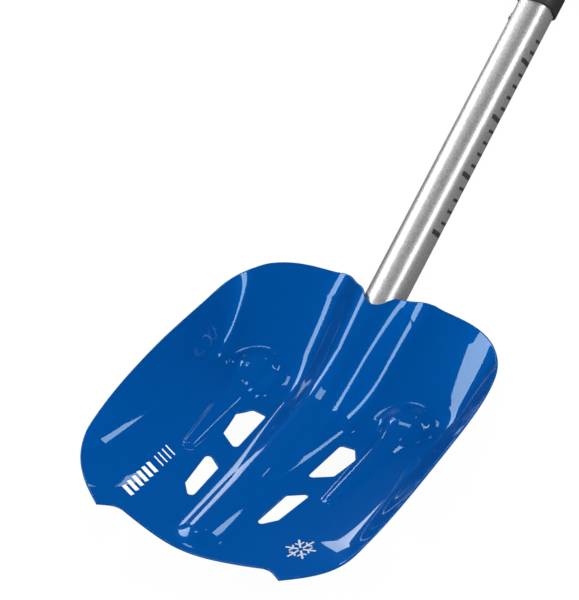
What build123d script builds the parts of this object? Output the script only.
from build123d import *
import math
import os

# Avalanche shovel: pressed aluminium blade, two-piece telescopic shaft, T-grip.
# Millimetres. The shaft lies along +Y at z = 0 while the parts are made, the scoop
# side faces +Z, and X runs across the blade. The last step moves the whole shovel so
# that the middle of its bounding box is at x = y = 0 and its lowest point at z = 0.

# ---- blade ----
shaft_angle = 32.5          # between the shaft and the flat floor of the blade, degrees
sheet_thickness = 1.8
blade_half_width = 128.0
floor_bend_radius = 100.0   # bend between the flat floor and the slope behind it
wall_start = 45.0           # the panels curl up gently from this half width
wall_lift = 8.0            # how much of the rim's height that gentle curl gives
wall_lift_slope = 0.2
wall_power = 2.4
crease_place = 103.0        # then a crease, and a straight wall up to the rim
crease_low_slope = 0.045
crease_high_slope = 0.1
crease_round = 2.6
rim_height = 44.9           # height of the rim beside the bend
rim_slope = 0.12            # the rim climbs towards the shaft
dish_sag = 6.0              # cross curve of the floor, measured at dish_width
dish_width = 80.0
edge_fade_start = -150.0    # the walls die out between here and edge_fade_end
edge_fade_end = -194.0

rib_height = 21.0           # hollow rib over the shaft socket
rib_low_height = 5.5
rib_full_until = 30.0       # full height on the shaft side of this line
rib_low_from = -120.0       # and low from here to its end
rib_half_width = 30.0
rib_end_half_width = 14.0
rib_narrows_from = 70.0
rib_end = -184.0            # centre of its rounded end

bead_head = (68.0, -3.0)    # teardrop bead beside the rib: across, along
bead_tail = (63.0, -104.0)
bead_head_half_width = 18.0
bead_tail_half_width = 5.0
bead_head_height = 7.0
bead_tail_height = 1.8

window_corner = 3.0
upper_window = [(34.0, -40.4), (46.3, -39.9), (53.7, -52.3), (49.8, -77.1), (31.8, -88.1)]
lower_window = [(30.6, -113.6), (46.7, -102.8), (41.5, -142.5), (28.1, -157.7)]

# ---- shaft ----
tube_width = 29.0           # outer tube: across (X) and through (Z)
tube_depth = 26.0
tube_corner = 8.5
tube_wall = 1.3
lower_tube_start = 14.0
lower_tube_end = 388.0
slide_gap = 0.1             # between sliding faces, each side
upper_tube_wall = 1.2
upper_tube_start = 292.0
upper_tube_end = 578.0
telescope_travel = 125.0
plug_end = 34.0             # plastic plug in the lower end of the outer tube
plug_lip = 4.0
plug_pin_radius = 1.5
plug_pin_place = 24.0
collar_start = 376.0        # plastic bush at the mouth of the outer tube
collar_end = 396.0
collar_wall = 2.2
collar_pin_radius = 1.25
collar_pin_place = 382.0
bush_start = 284.0          # plastic bush on the lower end of the inner tube
bush_end = 310.0
bush_pin_radius = 1.25
bush_pin_place = 301.0

lower_bore = tube_wall      # distances in from the outside of the outer tube
upper_outside = lower_bore + slide_gap
upper_bore = upper_outside + upper_tube_wall
upper_half_width = tube_width / 2 - upper_outside
upper_half_depth = tube_depth / 2 - upper_outside

# ---- locking buttons ----
button_radius = 4.3
button_hole_radius = 4.6
blade_button_stand_out = 1.5    # how far a dome stands out of the outer tube
shaft_button_stand_out = 3.2
blade_button_place = 58.0
shaft_button_place = 362.0
clip_width = 8.0
clip_thickness = 0.8

# ---- rear saddle ----
saddle_start = 27.0
saddle_end = 93.0
saddle_thickness = 1.5
saddle_gap = 0.15
saddle_flange = 47.0        # half width over the flanges
weld_length = 16.0

# ---- grip ----
grip_centre = 584.0
grip_radius = 16.5
grip_half_length = 60.0
grip_cap_length = 10.0
grip_stem_start = 524.0
grip_wall = 4.0
pad_thickness = 2.2
pad_half_length = 44.0
screw_places = [(-19.0, 584.0), (19.0, 584.0), (-16.6, 537.0), (16.6, 537.0)]
screw_radius = 1.5
screw_head_radius = 3.0
cross_pin_radius = 2.5
cross_pin_place = 560.0
insert_start = 545.0
insert_end = 577.0


def smooth_step(t):
    t = min(1.0, max(0.0, t))
    return t * t * (3.0 - 2.0 * t)


def blend(a, b, t):
    return a + (b - a) * t


# ---- blade surface: height above the flat floor, x across, v along (+ to the shaft) ----

def floor_height(v):
    """Flat floor, an arc, then the straight slope that follows the shaft."""
    angle = math.radians(shaft_angle)
    reach = floor_bend_radius * math.tan(angle / 2)
    if v <= -reach:
        return 0.0
    if v >= reach * math.cos(angle):
        return v * math.tan(angle)
    along = v + reach
    return floor_bend_radius - math.sqrt(floor_bend_radius ** 2 - along ** 2)


def dish_height(x, v):
    share = 1.0 - smooth_step((v + 40.0) / 60.0)
    return share * (dish_sag * (x / dish_width) ** 2 - 0.25 * dish_sag)


def soft_ramp(t):
    """Zero, a soft bend, then a straight climb."""
    return t if t > 30.0 else math.log1p(math.exp(t))


def crease_height(x, v):
    """A straight wall that starts with a soft bend at the crease; 1 at the half width."""
    place = crease_place + crease_low_slope * min(150.0, max(0.0, -v))
    place += crease_high_slope * min(70.0, max(0.0, v))
    full = soft_ramp((blade_half_width - place) / crease_round)
    return soft_ramp((abs(x) - place) / crease_round) / full


def wall_height(x, v):
    beyond = max(0.0, (abs(x) - wall_start) / (blade_half_width - wall_start))
    rim = rim_height + rim_slope * v
    rim -= dish_height(blade_half_width, v) + 0.72 * floor_height(v)
    lift = wall_lift + wall_lift_slope * min(70.0, max(0.0, v))
    fade = 1.0 - smooth_step((edge_fade_start - v) / (edge_fade_start - edge_fade_end))
    return fade * (lift * beyond ** wall_power + (rim - lift) * crease_height(x, v))


def rib_rise(x, v):
    full = smooth_step((v - rib_low_from) / (rib_full_until - rib_low_from))
    height = blend(rib_low_height, rib_height, full)
    narrow = min(1.0, max(0.0, (rib_narrows_from - v) / (rib_narrows_from - rib_end)))
    half_width = blend(rib_half_width, rib_end_half_width, narrow ** 0.7)
    away = math.hypot(x, max(0.0, rib_end - v))
    return height * math.exp(-((away / half_width) ** 3))


def bead_rise(x, v):
    """A teardrop: round high head towards the shaft, running out as a narrow tail."""
    head_x, head_v = bead_head
    tail_x, tail_v = bead_tail
    run_x = tail_x - head_x
    run_v = tail_v - head_v
    length_squared = run_x ** 2 + run_v ** 2
    share = ((abs(x) - head_x) * run_x + (v - head_v) * run_v) / length_squared
    share = min(1.0, max(0.0, share))
    away = math.hypot(abs(x) - head_x - share * run_x, v - head_v - share * run_v)
    half_width = blend(bead_head_half_width, bead_tail_half_width, share ** 0.6)
    height = blend(bead_head_height, bead_tail_height, share ** 0.6)
    return height * math.exp(-((away / half_width) ** 4))


def blade_height(x, v):
    base = floor_height(v) + dish_height(x, v) + wall_height(x, v)
    return base + rib_rise(x, v) + bead_rise(x, v)


def blade_depth(x, v):
    """Vertical depth of the sheet, so that it is equally thick square to its surface."""
    step = 0.05
    slope_x = (blade_height(x + step, v) - blade_height(x - step, v)) / (2 * step)
    slope_v = (blade_height(x, v + step) - blade_height(x, v - step)) / (2 * step)
    return sheet_thickness * math.sqrt(slope_x ** 2 + slope_v ** 2 + 1.0)


def section_wire(v):
    """Cross-section of the sheet: left panel, rib and right panel, front and back."""
    panel = [45, 51, 56, 61, 66, 71, 76, 81, 86, 91, 96, 100, 103, 106, 109, 112, 116, 122, 128, 134]
    rib = [5, 10, 14, 17, 20, 23, 26, 29, 32, 35, 38, 41, 45]
    rib = [-x for x in reversed(rib)] + [0] + rib
    runs = [[-x for x in reversed(panel)], rib, panel]
    front = [Spline([Vector(x, v, blade_height(x, v)) for x in run]) for run in runs]
    back = [
        Spline([Vector(x, v, blade_height(x, v) - blade_depth(x, v)) for x in run])
        for run in runs
    ]
    sides = [Line(front[0] @ 0, back[0] @ 0), Line(front[2] @ 1, back[2] @ 1)]
    return Wire(front + [sides[1]] + back + [sides[0]])


def section_places():
    """Closer sections where a rib or a bead ends."""
    places = [-213.0]
    while places[-1] < 95.0:
        v = places[-1]
        fine = v < -176.0 or -116.0 < v < -98.0 or 0.0 < v < 20.0
        places.append(v + (3.5 if fine else 6.5))
    return places


def blade_outline():
    """Plan shape of the blade, seen square to its flat floor."""
    tooth = (80.0, -204.0)
    notch = (62.0, -196.5)
    flare = (42.0, 88.0)
    neck = (0.0, 60.5)
    front_edge = Spline((-notch[0], notch[1]), (-31.0, -203.8), (0.0, -207.8), (31.0, -203.8), notch)
    tooth_side = Spline(notch, (67.5, -196.9), (74.5, -200.3), tooth)
    side = Spline(
        tooth,
        (103.0, -187.5),
        (118.0, -170.0),
        (125.5, -140.0),
        (128.4, -75.0),
        (125.0, 14.0),
        (112.0, 61.0),
        (84.0, 81.5),
        flare,
    )
    flank = Spline(
        flare, (36.0, 86.3), (32.0, 83.9), (26.0, 78.9), (20.5, 74.7), (15.0, 71.0), (10.5, 66.6),
        (6.0, 62.4), neck,
        tangents=[(-1, 0), (-1, 0)],
    )
    half = [tooth_side, side, flank]
    mirrored = [edge.mirror(Plane.YZ) for edge in half]
    return make_face(Wire([front_edge] + half + mirrored))


def window_face(corners):
    face = make_face(Polyline(*corners, close=True))
    return fillet(face.vertices(), window_corner)


def to_shaft(shape):
    """Turn the blade from its own flat floor into the line of the shaft."""
    return shape.rotate(Axis.X, -shaft_angle)


def make_blade():
    pressing = Solid.make_loft([section_wire(v) for v in section_places()], ruled=True)
    blank = extrude(Pos(0, 0, -60) * blade_outline(), amount=200, dir=(0, 0, 1))
    sheet = pressing & blank
    for corners in (upper_window, lower_window):
        cutter = extrude(Pos(0, 0, -20) * window_face(corners), amount=60, dir=(0, 0, 1))
        sheet = sheet - cutter - cutter.mirror(Plane.YZ)
    return to_shaft(sheet)


# ---- profiles across the shaft ----

def tube_profile(inset):
    """Rounded rectangle, inset from the outside of the outer tube."""
    width = tube_width - 2 * inset
    depth = tube_depth - 2 * inset
    return RectangleRounded(width, depth, max(tube_corner - inset, 1.5))


def along_shaft(profile, start, end):
    """Extrude a profile drawn in X and Z along the shaft."""
    plane = Plane(origin=(0, start, 0), x_dir=(1, 0, 0), z_dir=(0, -1, 0))
    return extrude(plane * profile, amount=start - end)


def tube(inset, wall, start, end):
    return along_shaft(tube_profile(inset), start, end) - along_shaft(
        tube_profile(inset + wall), start, end
    )


def cross_rod(radius, place, start, end, direction, offset=0.0):
    """Round rod across the shaft, along X or along Z."""
    if direction == "x":
        plane = Plane(origin=(start, place, offset), z_dir=(1, 0, 0))
    else:
        plane = Plane(origin=(offset, place, start), z_dir=(0, 0, 1))
    return extrude(plane * Circle(radius), amount=end - start)


# ---- rear saddle: closes the socket behind the rib ----

def make_rear_saddle():
    half = tube_width / 2 + saddle_gap
    depth = tube_depth / 2 + saddle_gap
    corner = tube_corner + saddle_gap
    top = -sheet_thickness - 0.05
    outside = half + saddle_thickness
    channel = Rectangle(2 * outside, 2 * (depth + saddle_thickness))
    channel = fillet(channel.vertices(), corner + saddle_thickness)
    hollow = Rectangle(2 * half, 2 * depth)
    hollow = fillet(hollow.vertices(), corner)
    band = Pos(0, top - saddle_thickness / 2) * Rectangle(2 * saddle_flange, saddle_thickness)
    below = Pos(0, top - 25) * Rectangle(4 * saddle_flange, 50)
    profile = ((channel & below) + band) - hollow
    saddle = along_shaft(profile, saddle_start, saddle_end)
    corners = saddle.edges().filter_by(Axis.Z).sort_by(lambda edge: -abs(edge.center().X))[:4]
    saddle = fillet(corners, 6.0)
    hole = cross_rod(button_hole_radius, blade_button_place, -40, 0, "z")
    return saddle - hole


def make_saddle_welds():
    """Short fillet welds along both flanges."""
    top = -sheet_thickness - 0.05
    leg = saddle_thickness
    welds = []
    for place in (42.0, 64.0, 86.0):
        start = place - weld_length / 2
        for side in (-1, 1):
            edge = side * saddle_flange
            triangle = make_face(
                Polyline((edge, top), (edge + side * leg, top), (edge, top - leg), close=True)
            )
            welds.append(along_shaft(triangle, start, start + weld_length))
    return Compound(children=welds)


# ---- lower tube and what is fixed to it ----

def make_lower_tube():
    body = tube(0.0, tube_wall, lower_tube_start, lower_tube_end)
    body -= cross_rod(button_hole_radius, blade_button_place, -30, 0, "z")
    for place in (shaft_button_place, shaft_button_place - telescope_travel):
        body -= cross_rod(button_hole_radius, place, -30, 0, "x")
    body -= cross_rod(plug_pin_radius, plug_pin_place, -30, 30, "x")
    for side in (-1, 1):
        pin = cross_rod(collar_pin_radius, collar_pin_place, *sorted((side * 8, side * 20)), "z")
        body -= pin
    return body


def make_lower_plug():
    """Closes the lower end of the shaft against snow."""
    plug = along_shaft(tube_profile(lower_bore + 0.05), lower_tube_start, plug_end)
    plug += along_shaft(tube_profile(0.3), lower_tube_start - plug_lip, lower_tube_start)
    plug = fillet(plug.faces().sort_by(Axis.Y)[0].edges(), 1.8)
    plug -= along_shaft(tube_profile(lower_bore + 2.5), lower_tube_start + 2.0, plug_end + 2.0)
    return plug - cross_rod(plug_pin_radius, plug_pin_place, -30, 30, "x")


def make_plug_pin():
    reach = tube_width / 2 - 0.05
    return cross_rod(plug_pin_radius, plug_pin_place, -reach, reach, "x")


def make_lower_collar():
    """Plastic bush that guides the upper tube at the mouth of the lower one."""
    collar = along_shaft(tube_profile(-collar_wall), collar_start, collar_end)
    collar = fillet(collar.faces().sort_by(Axis.Y)[-1].edges(), 1.6)
    collar = chamfer(collar.faces().sort_by(Axis.Y)[0].edges(), 0.8)
    collar -= along_shaft(tube_profile(0.0), collar_start - 1, lower_tube_end)
    collar -= along_shaft(tube_profile(upper_outside - 0.06), lower_tube_end - 1, collar_end + 1)
    for side in (-1, 1):
        collar -= cross_rod(collar_pin_radius, collar_pin_place, *sorted((side * 8, side * 20)), "z")
    return collar


def make_collar_pins():
    outer = tube_depth / 2 + collar_wall - 0.1
    inner = tube_depth / 2 - tube_wall + 0.1
    pins = [
        cross_rod(collar_pin_radius, collar_pin_place, *sorted((side * inner, side * outer)), "z")
        for side in (-1, 1)
    ]
    return Compound(children=pins)


# ---- snap buttons: a bent spring strip with a drawn dome, one piece each ----

def spring_clip(bend, mouth, half_room, dome_top, dome_place):
    """V-shaped strip that opens towards `mouth`; drawn in (along, out) with its dome outwards."""
    reach = half_room - 0.1
    straight = math.copysign(9.0, mouth - bend)
    path = [
        (mouth, reach),
        (mouth - straight, reach),
        (bend, 0.9),
        (bend, -0.9),
        (mouth - straight, -reach),
        (mouth, -reach),
    ]
    middle = Polyline(*[(a, b - math.copysign(clip_thickness / 2, b)) for a, b in path])
    strip_face = trace(middle, line_width=clip_thickness)
    strip = extrude(strip_face, amount=clip_width / 2, both=True)
    stem = Plane(origin=(dome_place, -reach + 0.2, 0), z_dir=(0, -1, 0)) * Circle(button_radius)
    height = dome_top - reach + 0.2
    dome = extrude(stem, amount=height)
    dome = fillet(dome.faces().sort_by(Axis.Y)[0].edges(), 2.4)
    return strip + dome


def make_blade_snap_button():
    room = tube_depth / 2 - tube_wall
    top = tube_depth / 2 + blade_button_stand_out
    clip = spring_clip(88.0, 52.0, room, top, blade_button_place)
    # drawn (along, out) -> (Y, Z), dome towards -Z
    plane = Plane(origin=(0, 0, 0), x_dir=(0, 1, 0), z_dir=(1, 0, 0))
    return plane.from_local_coords(clip)


def make_telescope_snap_button():
    room = upper_half_width - upper_tube_wall
    top = tube_width / 2 + shaft_button_stand_out
    clip = spring_clip(328.0, 368.0, room, top, shaft_button_place)
    # drawn (along, out) -> (Y, X), dome towards -X
    plane = Plane(origin=(0, 0, 0), x_dir=(0, 1, 0), z_dir=(0, 0, -1))
    return plane.from_local_coords(clip)


# ---- upper tube and its bush ----

def make_upper_tube():
    body = tube(upper_outside, upper_tube_wall, upper_tube_start, upper_tube_end)
    body -= cross_rod(button_hole_radius, shaft_button_place, -30, 0, "x")
    body -= cross_rod(bush_pin_radius, bush_pin_place, -30, 30, "z")
    return body - cross_rod(cross_pin_radius, cross_pin_place, -30, 30, "z")


def make_upper_bush():
    """Plastic slider plug that guides the upper tube inside the lower one."""
    bush = along_shaft(tube_profile(upper_bore + 0.05), upper_tube_start, bush_end)
    bush += along_shaft(tube_profile(lower_bore + 0.05), bush_start, upper_tube_start)
    bush -= along_shaft(tube_profile(upper_bore + 2.6), bush_start - 1, bush_end + 1)
    return bush - cross_rod(bush_pin_radius, bush_pin_place, -30, 30, "z")


def make_bush_pin():
    reach = upper_half_depth - 0.05
    return cross_rod(bush_pin_radius, bush_pin_place, -reach, reach, "z")


# ---- grip ----

def grip_bar(radius, half_length):
    start = Plane(origin=(-half_length, grip_centre, 0), z_dir=(1, 0, 0))
    return extrude(start * Circle(radius), amount=2 * half_length)


def grip_body():
    """The whole T before it is split: bar, flared stem and the hollows."""
    inner = grip_half_length - grip_cap_length
    bar = grip_bar(grip_radius, inner)
    low = Plane(origin=(0, grip_stem_start, 0), x_dir=(1, 0, 0), z_dir=(0, 1, 0))
    mid = Plane(origin=(0, 552.0, 0), x_dir=(1, 0, 0), z_dir=(0, 1, 0))
    top = Plane(origin=(0, 576.0, 0), x_dir=(1, 0, 0), z_dir=(0, 1, 0))
    stem = loft([
        low * RectangleRounded(41, 31, 14),
        mid * RectangleRounded(43, 31, 14),
        top * RectangleRounded(62, 30, 14),
    ])
    body = bar + stem
    body -= along_shaft(tube_profile(upper_outside - 0.05), grip_stem_start - 1, 578.2)
    for side in (-1, 1):
        start = Plane(origin=(side * 25.0, grip_centre, 0), z_dir=(side, 0, 0))
        body -= extrude(start * Circle(grip_radius - grip_wall), amount=inner - 25.0 + 1.0)
    return body - pad_recess()


def pad_band(inner_radius, half_length):
    """Half sleeve on the palm side of the bar."""
    outer = grip_bar(grip_radius, half_length) - grip_bar(inner_radius, half_length + 1)
    keep = Pos(0, grip_centre + 4.0 + 20.0, 0) * Box(2 * half_length, 40.0, 60.0)
    return outer & keep


def pad_recess():
    return pad_band(grip_radius - pad_thickness - 0.02, pad_half_length + 0.02)


def make_grip_pad():
    return pad_band(grip_radius - pad_thickness, pad_half_length)


def half_of_grip(side):
    """One shell: side +1 is the front (scoop side), -1 the rear, which takes the screw heads."""
    keep = Pos(0, 560.0, side * 30.0) * Box(200.0, 200.0, 60.0)
    shell = grip_body() & keep
    for x, y in screw_places:
        reach = (-30.0, 8.0)
        shell -= cross_rod(screw_radius, y, *reach, "z", offset=x)
        if side < 0:
            shell -= cross_rod(screw_head_radius + 0.1, y, -30.0, -9.0, "z", offset=x)
    return shell - cross_rod(cross_pin_radius, cross_pin_place, -13.5, 13.5, "z")


def make_grip_screws():
    """Cross-head pan screws from the rear, their heads sunk in their holes."""
    screws = []
    for x, y in screw_places:
        shank = cross_rod(screw_radius - 0.02, y, -9.0, 7.8, "z", offset=x)
        head = cross_rod(screw_head_radius, y, -11.2, -9.0, "z", offset=x)
        head = fillet(head.faces().sort_by(Axis.Z)[0].edges(), 0.9)
        slot = Pos(x, y, -11.2) * Box(0.9, 3.6, 1.8)
        cross = Pos(x, y, -11.2) * Box(3.6, 0.9, 1.8)
        screws.append(shank + head - slot - cross)
    return Compound(children=screws)


def make_grip_cross_pin():
    return cross_rod(cross_pin_radius, cross_pin_place, -13.4, 13.4, "z")


def make_grip_insert():
    """Block inside the top of the upper tube, so that the cross pin can't crush it."""
    block = along_shaft(tube_profile(upper_bore + 0.05), insert_start, insert_end)
    return block - cross_rod(cross_pin_radius, cross_pin_place, -30, 30, "z")


def make_grip_cap(side):
    """Rubber end cap: a domed end with a spigot inside the bar."""
    inner = grip_half_length - grip_cap_length
    seat = Plane(origin=(side * inner, grip_centre, 0), z_dir=(side, 0, 0))
    cap = extrude(seat * Circle(grip_radius), amount=grip_cap_length)
    end = cap.faces().sort_by(Axis.X)[-1 if side > 0 else 0]
    cap = fillet(end.edges(), 7.0)
    spigot = extrude(seat * Circle(grip_radius - grip_wall - 0.05), amount=-9.0)
    hollow = extrude(seat * Circle(grip_radius - 6.5), amount=-9.5)
    return cap + spigot - hollow


def make_parts():
    return {
        "blade": make_blade(),
        "rear_saddle": make_rear_saddle(),
        "saddle_welds": make_saddle_welds(),
        "lower_tube": make_lower_tube(),
        "lower_tube_plug": make_lower_plug(),
        "lower_plug_pin": make_plug_pin(),
        "lower_tube_collar": make_lower_collar(),
        "collar_pins": make_collar_pins(),
        "blade_snap_button": make_blade_snap_button(),
        "telescope_snap_button": make_telescope_snap_button(),
        "upper_tube": make_upper_tube(),
        "upper_tube_bush": make_upper_bush(),
        "upper_bush_pin": make_bush_pin(),
        "grip_front_shell": half_of_grip(1),
        "grip_rear_shell": half_of_grip(-1),
        "grip_palm_pad": make_grip_pad(),
        "grip_cap_left": make_grip_cap(-1),
        "grip_cap_right": make_grip_cap(1),
        "grip_screws": make_grip_screws(),
        "grip_cross_pin": make_grip_cross_pin(),
        "grip_tube_insert": make_grip_insert(),
    }


def main():
    os.makedirs("parts", exist_ok=True)
    parts = make_parts()
    boxes = [part.bounding_box() for part in parts.values()]
    low = min(box.min.Z for box in boxes)
    first = min(box.min.Y for box in boxes)
    last = max(box.max.Y for box in boxes)
    shift = Pos(0, -(first + last) / 2, -low)
    for name, part in parts.items():
        export_step(shift * part, os.path.join("parts", name + ".step"))
    print("moved by Y %.4f, Z %.4f" % (-(first + last) / 2, -low))


main()
